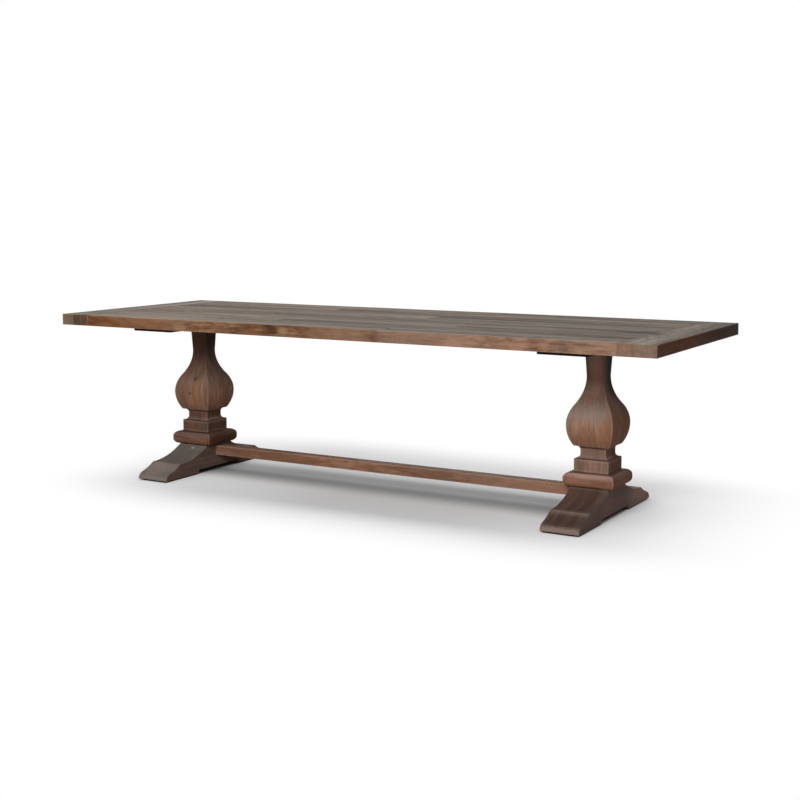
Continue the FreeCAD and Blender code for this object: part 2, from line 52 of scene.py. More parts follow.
# Column and plinth sizes in metres, beside those that the frame's boxes give
COLUMN = {
    "top": 0.087, "waist": 0.0736, "bowl": 0.155, "lip": 0.147, "scotia": 0.107, "cove": 0.141,
    "lip_height": 0.006, "lip_shelf": 0.003, "scotia_height": 0.051,
    "belly_share": 0.308, "waist_share": 0.743, "shoulder_share": 0.41,
}
PLINTH_ROUND = 0.024

# Foot outline sizes in metres
FOOT = {
    "top_length": 0.178, "sweep_radius": 0.373,
    "step_reach": 0.1005, "step_height": 0.0635, "step_radius": 0.240,
    "toe_reach": 0.028, "toe_height": 0.0315, "crown_radius": 0.050, "crown_reach_share": 0.11,
    "nose_radius": 0.020, "nose_height": 0.003, "nose_tuck": 0.0025,
    "relief_length": 0.300, "relief_height": 0.015,
}

# Stretcher tenon section
TENON_DEPTH = 0.030
TENON_HEIGHT = 0.024

# Worn edges and the spacing of points on a piece
FREE_ARRIS = 0.0013
SEAM_ARRIS = 0.0008
BUTT_ARRIS = 0.0005
TURNED_ARRIS = 0.0016
FOOT_ARRIS = 0.0018
FOOT_CORNER = 0.0032
LEAST_ARRIS = 0.0003
WEAR_SPAN = 0.005
POINT_SPACING = 0.012
ARRIS_STEPS = 4
SCRAPE_DEPTH = 0.00035
JOINT_REACH = 0.0018

# How worn a point is: pale where hands and chairs rub, which on the arrises is also a painted highlight,
# dark where dirt settles in a seam, and dark as painted shade where pieces of a pedestal meet
PALE_WEAR_AND_HIGHLIGHT = 1.0
SEAM_GRIME = -0.7
BUTT_GRIME = -0.4
# painted shade in the joints between the pieces of a pedestal
JOINT_SHADE = -0.9


# Outlines


def ripple(place, scale, seed):
    """Smooth value from 0 to 1 that wanders over a piece."""
    wave = noise.noise(Vector(place) * scale + Vector((seed, 0, 0)))
    return 0.5 + 0.5 * max(-1.0, min(1.0, 1.6 * wave))


def spread(low, high, count):
    """Evenly spaced values between two ends, the ends left out."""
    return [low + (high - low) * (step + 1) / (count + 1) for step in range(count)]


def arc(start, end, radius, turn, steps=8):
    """Points after start along an arc under a half circle that turns left or right, up to end."""
    start, end = Vector(start), Vector(end)
    chord = end - start
    rise = math.sqrt(max(0.0, radius ** 2 - (chord.length / 2) ** 2))
    left = Vector((-chord.y, chord.x)).normalized()
    centre = (start + end) / 2 + left * (rise if turn == "left" else -rise)
    first = math.atan2(start.y - centre.y, start.x - centre.x)
    sweep = 2 * math.asin(min(1.0, chord.length / 2 / radius)) * (1 if turn == "left" else -1)
    angles = [first + sweep * (step + 1) / steps for step in range(steps)]
    return [centre + radius * Vector((math.cos(angle), math.sin(angle))) for angle in angles]


def softened(corners, radius, closed=False):
    """Outline whose sharp corners are rounded a little; each point carries how worn it is, pale on the
    rounded corners as wear and painted highlight.
    """
    points = []
    for index, corner in enumerate(corners):
        here = Vector(corner)
        if not closed and index in (0, len(corners) - 1):
            points.append((here, 0.0))
            continue
        before = Vector(corners[index - 1]) - here
        after = Vector(corners[(index + 1) % len(corners)]) - here
        if before.angle(-after) < math.radians(22):
            points.append((here, 0.0))
            continue
        cut = min(radius, 0.4 * before.length, 0.4 * after.length)
        first = here + before.normalized() * cut
        last = here + after.normalized() * cut
        for step in range(ARRIS_STEPS + 1):
            share = step / ARRIS_STEPS
            points.append((first.lerp(here, share).lerp(here.lerp(last, share), share), PALE_WEAR_AND_HIGHLIGHT))
    return points


def stations(start, end, radii):
    """Places along a piece, each with the inset of its section there, round at both ends."""
    turns = [math.pi / 2 * step / ARRIS_STEPS for step in range(ARRIS_STEPS + 1)]
    insets = [[radius * (1 - math.sin(turn)) for turn in turns] for radius in radii]
    reaches = [[radius * (1 - math.cos(turn)) for turn in turns] for radius in radii]
    head = [(start + reach, inset) for reach, inset in zip(reaches[0], insets[0])]
    tail = [(end - reach, inset) for reach, inset in zip(reaches[1], insets[1])]
    first, last = head[-1][0] + WEAR_SPAN, tail[-1][0] - WEAR_SPAN
    middle = spread(first, last, round((last - first) / POINT_SPACING))
    return head + [(place, 0.0) for place in (first, *middle, last)] + tail[::-1]


# Pieces


def loft(rings):
    """Faces between closed rings of equally many points, with a flat face over each end."""
    count = len(rings[0])
    faces = [tuple(range(count)), tuple(range((len(rings) - 1) * count, len(rings) * count))]
    for ring in range(len(rings) - 1):
        low, high = ring * count, (ring + 1) * count
        for index in range(count):
            following = (index + 1) % count
            faces.append((low + index, low + following, high + following, high + index))
    return faces


def dressed(name, rings, slot, finish, *more_nodes):
    """A worn piece that stands for the node of its name; each ring point is a place and how worn it is, a
    number that also carries painted highlight on arrises and painted shade in joints.
    """
    mesh = bpy.data.meshes.new("worn_" + name)
    mesh.from_pydata([place for ring in rings for place, wear in ring], [], loft(rings))
    worn = mesh.attributes.new("wear", "FLOAT", "POINT")
    worn.data.foreach_set("value", [wear for ring in rings for place, wear in ring])
    shape = bmesh.new()
    shape.from_mesh(mesh)
    bmesh.ops.recalc_face_normals(shape, faces=shape.faces)
    shape.to_mesh(mesh)
    shape.free()
    mesh.shade_smooth()
    mesh.set_sharp_from_angle(angle=math.radians(40))
    for cap in mesh.polygons[:2]:
        cap.use_smooth = False
    mesh.materials.append(finish)
    piece = bpy.data.objects.new("worn_" + name, mesh)
    bpy.context.scene.collection.objects.link(piece)
    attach(piece, "root")
    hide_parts(name, *more_nodes)
    return piece


def board_section(low, high, arrises, worn, inset):
    """Ring of a board's section: across, up, wear and whether it lies on the top face."""
    corners = [(low.x + inset.x, low.y + inset.y), (high.x - inset.x, low.y + inset.y),
               (high.x - inset.x, high.y - inset.y), (low.x + inset.x, high.y - inset.y)]
    radii = [max(LEAST_ARRIS, arris - min(inset)) for arris in arrises]
    fills = (5, 3, 11, 3)
    ring = []
    for index, (across, up) in enumerate(corners):
        middle = Vector((across + (radii[index] if index in (0, 3) else -radii[index]),
                         up + (radii[index] if index in (0, 1) else -radii[index])))
        for step in range(ARRIS_STEPS + 1):
            angle = math.pi + (index + step / ARRIS_STEPS) * math.pi / 2
            spot = middle + radii[index] * Vector((math.cos(angle), math.sin(angle)))
            ring.append((spot.x, spot.y, worn[index], index > 1))
        following = (index + 1) % 4
        along = Vector(corners[following]) - Vector(corners[index])
        margin = min(0.2, WEAR_SPAN / along.length)
        first = radii[index] / along.length + margin
        last = 1 - radii[following] / along.length - margin
        for share in (first, *spread(first, last, fills[index]), last):
            ring.append((across + along.x * share, up + along.y * share, 0.0, index == 2))
    return ring


def board(low, high, along, arrises, worn, ends, seed):
    """Rings of a board along X (0) or Y (1) whose arrises and top are worn unevenly.

    arrises and worn go round the section from its low bottom corner; ends are pairs of arris and wear."""
    flat_low = Vector((low[1 - along], low.z))
    flat_high = Vector((high[1 - along], high.z))
    middle = (low[along] + high[along]) / 2
    rings = []
    for place, inset in stations(low[along], high[along], [arris for arris, wear in ends]):
        end_wear = ends[0 if place < middle else 1][1]
        radii = [arris * (0.7 + 0.8 * ripple((place, index, 0), 7.0, seed))
                 for index, arris in enumerate(arrises)]
        section = board_section(flat_low, flat_high, radii, worn, Vector((inset, inset)))
        ring = []
        for across, up, wear, on_top in section:
            if on_top:
                up -= SCRAPE_DEPTH * ripple((place * 0.35, across, 0), 14.0, seed)
            spot = (place, across, up) if along == 0 else (across, place, up)
            ring.append((spot, end_wear if inset else wear))
        rings.append(ring)
    return rings


def square_ring(centre, half, height, wear, seed):
    """Ring of a square section, its corners worn round."""
    arris = min(TURNED_ARRIS, 0.2 * half) * (0.7 + 0.8 * ripple((centre.x, 0, height), 22.0, seed))
    reach = half - arris
    ring = []
    for quarter in range(4):
        turn = quarter * math.pi / 2
        side = Vector((math.cos(turn), math.sin(turn), 0))
        ahead = Vector((-side.y, side.x, 0))
        for step in range(ARRIS_STEPS + 1):
            angle = turn + (step / ARRIS_STEPS - 1) * math.pi / 2
            corner = reach * (side - ahead) + arris * Vector((math.cos(angle), math.sin(angle), 0))
            ring.append((centre + corner + Vector((0, 0, height)), PALE_WEAR_AND_HIGHLIGHT if wear >= 0 else wear))
        first, last = WEAR_SPAN - reach, reach - WEAR_SPAN
        for across in (first, *spread(first, last, 9), last):
            dip = SCRAPE_DEPTH * ripple((quarter, across, 0.4 * height), 17.0, seed)
            ring.append((centre + (half - dip) * side + across * ahead + Vector((0, 0, height)), wear))
    return ring


def square_turning(low, high, outline, seed):
    """Rings of a piece with a square section all the way up; outline holds half widths and heights."""
    centre = Vector(((low.x + high.x) / 2, (low.y + high.y) / 2, 0))
    rings = []
    for spot, wear in outline:
        # the ends of a pedestal piece get painted shade where it meets the next piece
        in_joint = min(spot.y - low.z, high.z - spot.y) < JOINT_REACH
        rings.append(square_ring(centre, spot.x, spot.y, JOINT_SHADE if in_joint else wear, seed))
    return rings


def column_outline(low, high):
    """Half outline of a column, from its foot to its head."""
    base, height, belly = low.z, high.z - low.z, (high.x - low.x) / 2
    widths = ("waist", "bowl", "lip", "scotia", "cove", "top")
    waist, bowl, lip, scotia, cove, top = (COLUMN[key] / 2 for key in widths)
    scotia_top = base + COLUMN["scotia_height"]
    bowl_level = scotia_top + COLUMN["lip_height"]
    belly_level = base + COLUMN["belly_share"] * height
    waist_level = base + COLUMN["waist_share"] * height
    swell, rise = belly - bowl, belly_level - bowl_level
    bowl_radius = (swell ** 2 + rise ** 2) / (2 * swell)
    draw, climb = belly - waist, waist_level - belly_level
    both_radii = (draw ** 2 + climb ** 2) / (2 * draw)
    share = COLUMN["shoulder_share"]
    turning = (belly - share * draw, belly_level + share * climb)
    lip_cove = lip - scotia - COLUMN["lip_shelf"]
    corners = [(cove, base)]
    corners += arc((cove, base), (scotia, base + cove - scotia), cove - scotia, "right")
    corners += [(scotia, scotia_top - lip_cove)]
    corners += arc(corners[-1], (scotia + lip_cove, scotia_top), lip_cove, "right")
    corners += [(lip, scotia_top), (bowl, bowl_level)]
    corners += arc(corners[-1], (belly, belly_level), bowl_radius, "left", 14)
    corners += arc(corners[-1], turning, share * both_radii, "left", 14)
    corners += arc(corners[-1], (waist, waist_level), (1 - share) * both_radii, "right", 18)
    neck = high.z - waist_level
    corners += [(waist + (top - waist) * part, waist_level + neck * part) for part in (0.25, 0.5, 0.75, 1.0)]
    return softened(corners, TURNED_ARRIS)


def block_outline(low, high):
    """Half outline of a base block."""
    half = (high.x - low.x) / 2
    corners = [(half - TURNED_ARRIS, low.z), (half, low.z + TURNED_ARRIS)]
    corners += [(half, level) for level in spread(low.z, high.z, 3)]
    corners += [(half, high.z - TURNED_ARRIS), (half - TURNED_ARRIS, high.z)]
    return softened(corners, TURNED_ARRIS)


def plinth_outline(low, high):
    """Half outline of a plinth, rounded below and above."""
    half = (high.x - low.x) / 2
    inner = half - PLINTH_ROUND
    corners = [(inner, low.z)]
    corners += arc((inner, low.z), (half, low.z + PLINTH_ROUND), PLINTH_ROUND, "left", 10)
    corners += [(half, (low.z + high.z) / 2)]
    corners += [(half, high.z - PLINTH_ROUND)]
    corners += arc(corners[-1], (inner, high.z), PLINTH_ROUND, "left", 10)
    return softened(corners, TURNED_ARRIS)


def foot_outline(low, high):
    """Closed outline of a foot from its side: relief, toe, step and sweep, then the same mirrored."""
    base, top, toe = low.z, high.z, high.y
    step_y, toe_y = toe - FOOT["step_reach"], toe - FOOT["toe_reach"]
    relief, ceiling = FOOT["relief_length"] / 2, base + FOOT["relief_height"]
    crown = (toe - FOOT["crown_reach_share"] * FOOT["toe_reach"], ceiling)
    half = [(relief, ceiling), (relief, base), (toe - FOOT["nose_tuck"], base)]
    half += [(toe, base + FOOT["nose_height"])]
    half += arc(half[-1], crown, FOOT["nose_radius"], "left", 4)
    half += arc(half[-1], (toe_y, base + FOOT["toe_height"]), FOOT["crown_radius"], "left", 9)
    half += arc(half[-1], (step_y, base + FOOT["step_height"]), FOOT["step_radius"], "right", 9)
    half += arc(half[-1], (FOOT["top_length"] / 2, top), FOOT["sweep_radius"], "right", 18)
    mirrored = [(-across, up) for across, up in reversed(half)]
    return softened([Vector(spot) for spot in half + mirrored], FOOT_CORNER, closed=True)


def foot_rings(low, high, seed):
    """Rings of a foot from one side face to the other, its arrises worn round."""
    outline = foot_outline(low, high)
    count = len(outline)
    inward = []
    for index in range(count):
        ahead = outline[(index + 1) % count][0] - outline[index - 1][0]
        inward.append(Vector((-ahead.y, ahead.x)).normalized())
    rings = []
    for place, inset in stations(low.x, high.x, (FOOT_ARRIS, FOOT_ARRIS)):
        ring = []
        for (spot, wear), normal in zip(outline, inward):
            dip = SCRAPE_DEPTH * ripple((place, spot.x, spot.y), 16.0, seed)
            moved = spot + normal * (inset + dip)
            ring.append(((place, moved.x, moved.y), PALE_WEAR_AND_HIGHLIGHT if inset else wear))
        rings.append(ring)
    return rings


def stretcher_rings(low, high, shoulders, seed):
    """Rings of the stretcher between its shoulders, with a stub tenon at each end."""
    free = [FREE_ARRIS] * 4
    rail = board(Vector((shoulders[0], low.y, low.z)), Vector((shoulders[1], high.y, high.z)), 0, free,
                 [PALE_WEAR_AND_HIGHLIGHT] * 4, [(FREE_ARRIS, 0.0)] * 2, seed)
    flat_low, flat_high = Vector((low.y, low.z)), Vector((high.y, high.z))
    inset = Vector((high.y - low.y - TENON_DEPTH, high.z - low.z - TENON_HEIGHT)) / 2
    tenon = board_section(flat_low, flat_high, free, [0.0] * 4, inset)

    def tenon_ring(place):
        return [((place, across, up), 0.0) for across, up, wear, on_top in tenon]

    left_tenon = [tenon_ring(low.x), tenon_ring(shoulders[0])]
    right_tenon = [tenon_ring(shoulders[1]), tenon_ring(high.x)]
    return left_tenon + rail + right_tenon


# Finishes


def srgb(red, green, blue):
    """Linear colour of screen levels from 0 to 255."""
    levels = [level / 255 for level in (red, green, blue)]
    linear = [level / 12.92 if level <= 0.04045 else ((level + 0.055) / 1.055) ** 2.4 for level in levels]
    return (*linear, 1.0)


class Wire:
    """A socket of a finish; sums of wires and numbers add Math nodes."""

    def __init__(self, finish, socket):
        self.finish = finish
        self.socket = socket

    def math(self, operation, *values):
        return self.finish.node("ShaderNodeMath", {"operation": operation}, dict(enumerate(values)))

    def __add__(self, other):
        return self.math("ADD", self, other)

    def __sub__(self, other):
        return self.math("SUBTRACT", self, other)

    def __rsub__(self, other):
        return self.math("SUBTRACT", other, self)

    def __mul__(self, other):
        return self.math("MULTIPLY", self, other)

    __radd__ = __add__
    __rmul__ = __mul__

    def size(self):
        return self.math("ABSOLUTE", self)

    def fraction(self):
        return self.math("FRACT", self)

    def highest(self, other):
        return self.math("MAXIMUM", self, other)

    def root(self):
        return self.math("SQRT", self)

    def rise(self, low, high):
        """0 below low, 1 above high and smooth between."""
        settings = {"interpolation_type": "SMOOTHSTEP"}
        sockets = {"Value": self, "From Min": low, "From Max": high}
        return self.finish.node("ShaderNodeMapRange", settings, sockets)


class Finish:
    """The nodes of a material, or of the world, in the making."""

    def __init__(self, owner):
        owner.use_nodes = True
        self.owner = owner
        self.tree = owner.node_tree
        self.tree.nodes.clear()

    def node(self, kind, settings=None, sockets=None, output=0):
        """Add a node: its settings first, then the values or links of its sockets."""
        made = self.tree.nodes.new(kind)
        for name, setting in (settings or {}).items():
            if name == "stops":
                ramp = made.color_ramp.elements
                while len(ramp) < len(setting):
                    ramp.new(1.0)
                for stop, (position, colour) in zip(ramp, setting):
                    stop.position = position
                    stop.color = colour
            else:
                setattr(made, name, setting)
        for name, given in (sockets or {}).items():
            if isinstance(given, Wire):
                self.tree.links.new(given.socket, made.inputs[name])
            else:
                made.inputs[name].default_value = given
        return Wire(self, made.outputs[output]) if made.outputs else None

    def outputs(self, kind, settings=None, sockets=None):
        """All outputs of a new node, by name."""
        first = self.node(kind, settings, sockets)
        return {socket.name: Wire(self, socket) for socket in first.socket.node.outputs}

    def parts(self, vector):
        """The three numbers of a vector."""
        return list(self.outputs("ShaderNodeSeparateXYZ", None, {0: vector}).values())

    def joined(self, across):
        """A vector of three numbers."""
        return self.node("ShaderNodeCombineXYZ", None, dict(enumerate(across)))

    def cloud(self, across, detail=2.0, roughness=0.5):
        """Smooth noise about one half, over three numbers that are already scaled."""
        sockets = {"Vector": self.joined(across), "Scale": 1.0, "Detail": detail, "Roughness": roughness}
        return self.node("ShaderNodeTexNoise", None, sockets)

    def vector(self, operation, *values, output=0):
        return self.node("ShaderNodeVectorMath", {"operation": operation}, dict(enumerate(values)), output)

    def blend(self, share, first, second):
        """Two colours mixed by a share."""
        return self.node("ShaderNodeMix", {"data_type": "RGBA"}, {0: share, 6: first, 7: second}, 2)

    def ramp(self, share, tones):
        """Dark, middle and light tone along a share."""
        return self.node("ShaderNodeValToRGB", {"stops": list(zip((0.0, 0.5, 1.0), tones))}, {0: share})

    def bump(self, height, strength, distance):
        sockets = {"Height": height, "Strength": strength, "Distance": distance}
        return self.node("ShaderNodeBump", None, sockets)

    def surface(self, **sockets):
        """Close the material with its shader; socket names have underscores for spaces."""
        named = {name.replace("_", " "): given for name, given in sockets.items()}
        shader = self.node("ShaderNodeBsdfPrincipled", None, named)
        self.node("ShaderNodeOutputMaterial", None, {"Surface": shader})
        return self.owner


# grey of the wash in the grain, also used as painted sheen on faces that look up
GREY_WASH_AND_SHEEN = srgb(105, 103, 100)
WARM_WOOD = srgb(146, 96, 62)
# pale colour of rubbed arrises, partly wear and partly painted highlight
RUBBED_WOOD_AND_HIGHLIGHT = srgb(166, 142, 124)
# dark colour of dirt in seams, and of painted shade in the joints of the pedestals
SEAM_DIRT_AND_SHADE = srgb(30, 23, 19)
WOOD_ROUGHNESS = 0.68
WOOD_SHINE = 0.05
PAINT_SHINE = 0.15


def grain_lines(wood, spots, sideways, form, grain, seed, middle):
    """Three numbers to draw grain with: along it, across it and into the face.

    A board has one grain for all faces, a turned square piece one for each face, and the grain of a foot
    follows its swept top."""
    x, y, z = spots
    if form == "board":
        along, across = (x, y) if grain == "x" else (y, x)
        return along + 3.7 * seed, across + 1.3 * seed, z * 0.5 + 2.1 * seed
    if form == "foot":
        across = x * (1 - sideways) + z * sideways
        return y + 3.7 * seed, across + 1.3 * seed, (x + 4.0) * sideways + z * 0.12
    out_x, out_y = x - middle.x, y - middle.y
    on_side = (out_x.size() - out_y.size()).rise(-0.0004, 0.0004)
    across = out_y * on_side + out_x * (1 - on_side)
    depth = out_x * on_side + out_y * (1 - on_side)
    face = depth.rise(-0.01, 0.01) * 2.0 + on_side * 5.0 + 1.7 * seed
    into = depth * 0.06 + face * 3.1
    return (z + face, across, into) if grain == "z" else (across + face, z, into)


def timber(name, form, grain, tones, seed, marks=(), top_tones=None, side_tones=None, middle=None, wash=0.12,
           top_wash=0.3, warmth=0.4, wear=0.7, waviness=0.012, contrast=1.0, top_contrast=1.0):
    """Stained wood of a board, turned piece or foot, with its grain along an axis.

    tones are its dark, middle and light colour; top_tones and side_tones are the same for its upper face and
    for its right and left faces. The wash numbers are how much grey lies in its grain and on its faces that
    look up, where the grey is partly painted sheen; marks are knots, patches and streaks, and on some pieces
    painted shade, highlights and sheen."""
    wood = Finish(bpy.data.materials.new(name + "_wood"))
    place = wood.node("ShaderNodeTexCoord", None, None, "Object")
    facing = wood.parts(wood.node("ShaderNodeTexCoord", None, None, "Normal"))
    sideways = facing[0].size().rise(0.45, 0.75)
    upper = 1 - sideways if form == "foot" else facing[2].rise(0.45, 0.85)
    u, v, w = grain_lines(wood, wood.parts(place), sideways, form, grain, seed, middle)
    bend = wood.cloud((u * 1.3, v * 5.0, w * 5.0)) - 0.5
    v = v + bend * waviness
    w = w + bend * waviness
    broad = wood.cloud((u * 0.8, v * 16.0, w * 16.0), 3.0, 0.6)
    streak = wood.cloud((u * 2.4, v * 75.0, w * 75.0), 3.0, 0.6)
    fleck = wood.cloud((u * 17.0, v * 210.0, w * 210.0), 2.0)
    mottle = wood.cloud((u * (3.0 if form == "board" else 7.0), v * 18.0, w * 18.0), 3.0, 0.6)
    fibre = wood.cloud((u * 16.0, v * 620.0, w * 620.0))
    pores = wood.cloud((u * 55.0, v * 1000.0, w * 1000.0), 1.0).rise(0.60, 0.72)
    ring = (wood.cloud((u * 0.9, v * 7.0, w * 7.0), 1.0) * 20.0 + streak * 0.8).fraction()
    latewood = ring.rise(0.45, 0.92) * (1 - ring.rise(0.94, 1.0))

    grainy = (broad - 0.5) + (streak - 0.5) * 0.8 + (fleck - 0.5) + (fibre - 0.5) * 0.25 - latewood * 0.12
    figure = (grainy + (mottle - 0.5) * 0.9) * contrast + 0.53
    colour = wood.ramp(figure, tones)
    below = 1 - facing[2].rise(-0.35, 0.15)
    colour = wood.blend(mottle.rise(0.35, 0.6) * (0.25 + below * 0.75) * warmth, colour, WARM_WOOD)
    if side_tones:
        colour = wood.blend(sideways, colour, wood.ramp(figure, side_tones))
    if top_tones:
        long_figure = (grainy + (broad - 0.5)) * top_contrast + 0.53
        colour = wood.blend(upper, colour, wood.ramp(long_figure, top_tones))
    for centre, radii, tint, amount in marks:
        away = wood.vector("DIVIDE", wood.vector("SUBTRACT", place, centre), radii)
        distance = wood.vector("LENGTH", away, output="Value")
        near = 1 - (distance + (streak - 0.5) * 0.6 + bend).rise(0.3, 1.0)
        colour = wood.blend(near * amount, colour, tint)
    chill = wood.cloud((u * 1.1, v * 27.0, w * 27.0), 3.0, 0.6).rise(0.38, 0.62)
    # grey wash in the grain, and grey on faces that look up that is partly painted sheen
    grey = chill * wash + facing[2].rise(0.0, 0.6) * (0.25 + chill * 0.75) * top_wash
    colour = wood.blend(grey, colour, GREY_WASH_AND_SHEEN)
    colour = wood.blend(pores * 0.4, colour, tones[0])
    worn = wood.node("ShaderNodeAttribute", {"attribute_name": "wear"}, None, "Fac")
    # pale arrises, partly wear and partly painted highlight
    rubbed_and_highlight = worn.highest(0.0) * (streak * 0.7 + 0.2)
    # dark seams: dirt between boards, and painted shade in the joints of the pedestals
    grime_and_shade = (0 - worn).highest(0.0) * (0.35 + streak * 0.6)
    colour = wood.blend(rubbed_and_highlight * wear, colour, RUBBED_WOOD_AND_HIGHLIGHT)
    colour = wood.blend(grime_and_shade, colour, SEAM_DIRT_AND_SHADE)
    gloss = (streak - 0.5) * 0.3 + (fibre - 0.5) * 0.16 + pores * 0.15 - rubbed_and_highlight * 0.10 + WOOD_ROUGHNESS
    relief = wood.bump(fibre * 0.5 + fleck * 0.5 + streak * 0.5 - pores * 0.6 - latewood * 0.3, 0.35, 0.0006)
    return wood.surface(Base_Color=colour, Roughness=gloss, Normal=relief, Specular_IOR_Level=WOOD_SHINE)


def black_paint():
    """Black stained mounting boards, a little uneven."""
    paint = Finish(bpy.data.materials.new("black_board_finish"))
    x, y, z = paint.parts(paint.node("ShaderNodeTexCoord", None, None, "Object"))
    streak = paint.cloud((x * 60.0, y * 3.0, z * 60.0), 3.0)
    dust = paint.cloud((x * 9.0, y * 9.0, z * 9.0), 4.0)
    colour = paint.blend(streak * 0.5 + dust * 0.3, srgb(14, 12, 12), srgb(36, 32, 30))
    relief = paint.bump(streak, 0.3, 0.0004)
    gloss = 0.6 + dust * 0.2
    return paint.surface(Base_Color=colour, Roughness=gloss, Normal=relief, Specular_IOR_Level=PAINT_SHINE)


def zinc_steel():
    """Zinc plated fasteners with a dull, patchy shine."""
    zinc = Finish(bpy.data.materials.new("zinc_steel_finish"))
    x, y, z = zinc.parts(zinc.node("ShaderNodeTexCoord", None, None, "Object"))
    spangle = zinc.cloud((x * 260.0, y * 260.0, z * 260.0), 3.0)
    turned = zinc.cloud((x * 40.0, y * 40.0, z * 1500.0))
    colour = zinc.blend(spangle, srgb(150, 150, 152), srgb(196, 196, 194))
    relief = zinc.bump(turned, 0.2, 0.0002)
    return zinc.surface(Base_Color=colour, Metallic=1.0, Roughness=0.28 + spangle * 0.22, Normal=relief)


def glide_plastic():
    """Moulded black plastic, scuffed grey where it slides on the floor."""
    plastic = Finish(bpy.data.materials.new("glide_plastic_finish"))
    x, y, z = plastic.parts(plastic.node("ShaderNodeTexCoord", None, None, "Object"))
    grit = plastic.cloud((x * 900.0, y * 900.0, z * 900.0), 3.0)
    scuffs = plastic.cloud((x * 120.0, y * 500.0, z * 120.0), 3.0).rise(0.5, 0.75)
    sole = 1 - z.rise(0.0002, 0.0015)
    colour = plastic.blend(scuffs * (0.2 + sole * 0.5), srgb(24, 24, 25), srgb(92, 90, 88))
    relief = plastic.bump(grit, 0.25, 0.0002)
    return plastic.surface(Base_Color=colour, Roughness=0.45 + grit * 0.2, Normal=relief)


def tone_set(dark, middle, light):
    """Dark, middle and light tone of a wood, from screen levels."""
    return srgb(*dark), srgb(*middle), srgb(*light)


# upper faces of the end boards; the left ones are lighter than the right ones as painted sheen
END_BOARD_TOP_TONES_AND_SHEEN = {
    "left": tone_set((74, 64, 54), (140, 127, 115), (196, 183, 170)),
    "right": tone_set((56, 47, 38), (108, 96, 86), (158, 146, 135)),
}
COLUMN_TONES = tone_set((66, 40, 28), (132, 98, 80), (184, 148, 124))
PLINTH_TONES = tone_set((74, 46, 34), (124, 88, 72), (162, 124, 104))
STRETCHER_TONES = tone_set((90, 54, 36), (134, 94, 73), (168, 128, 102))
BEECH_TONES = tone_set((176, 138, 100), (202, 166, 126), (222, 190, 152))
# upper faces of the planks; the left ones are lighter than the right ones as painted sheen
PLANK_TOP_TONES_AND_SHEEN = {
    "left": tone_set((46, 33, 24), (101, 84, 69), (156, 138, 121)),
    "right": tone_set((32, 22, 15), (81, 66, 53), (136, 119, 104)),
}
# base block tones; the left ones are darker than the right ones as painted shade
BLOCK_TONES_AND_SHADE = {
    "left": tone_set((58, 36, 28), (104, 74, 60), (140, 108, 90)),
    "right": tone_set((74, 50, 42), (124, 96, 84), (162, 132, 118)),
}
COMMON_EDGE_TONES = tone_set((58, 36, 24), (106, 78, 62), (146, 114, 94))
EDGE_TONES = {
    "plank_1_left": tone_set((58, 34, 18), (112, 78, 56), (150, 116, 90)),
    "left_outer_end_board": tone_set((92, 70, 52), (134, 108, 84), (160, 134, 110)),
    "left_inner_end_board": tone_set((50, 36, 28), (80, 62, 50), (112, 90, 74)),
    "right_inner_end_board": tone_set((74, 50, 36), (106, 81, 67), (136, 108, 92)),
    "right_outer_end_board": tone_set((78, 56, 43), (109, 88, 76), (138, 114, 100)),
}
# end grain faces of the end boards, dark as end grain and darker still as painted shade
END_FACE_TONES_AND_SHADE = tone_set((46, 23, 8), (90, 51, 25), (130, 80, 46))
# upper faces of the feet; the left ones are greyer and lighter as painted sheen
FOOT_TONES_AND_SHEEN = {
    "left": tone_set((76, 66, 61), (114, 104, 98), (142, 131, 124)),
    "right": tone_set((38, 25, 19), (84, 62, 51), (128, 102, 88)),
}
# side faces of the feet; the left ones are darker than the right ones as painted shade
FOOT_SIDE_TONES_AND_SHADE = {
    "left": tone_set((44, 30, 27), (64, 47, 43), (88, 68, 62)),
    "right": tone_set((66, 46, 45), (94, 72, 70), (122, 98, 94)),
}
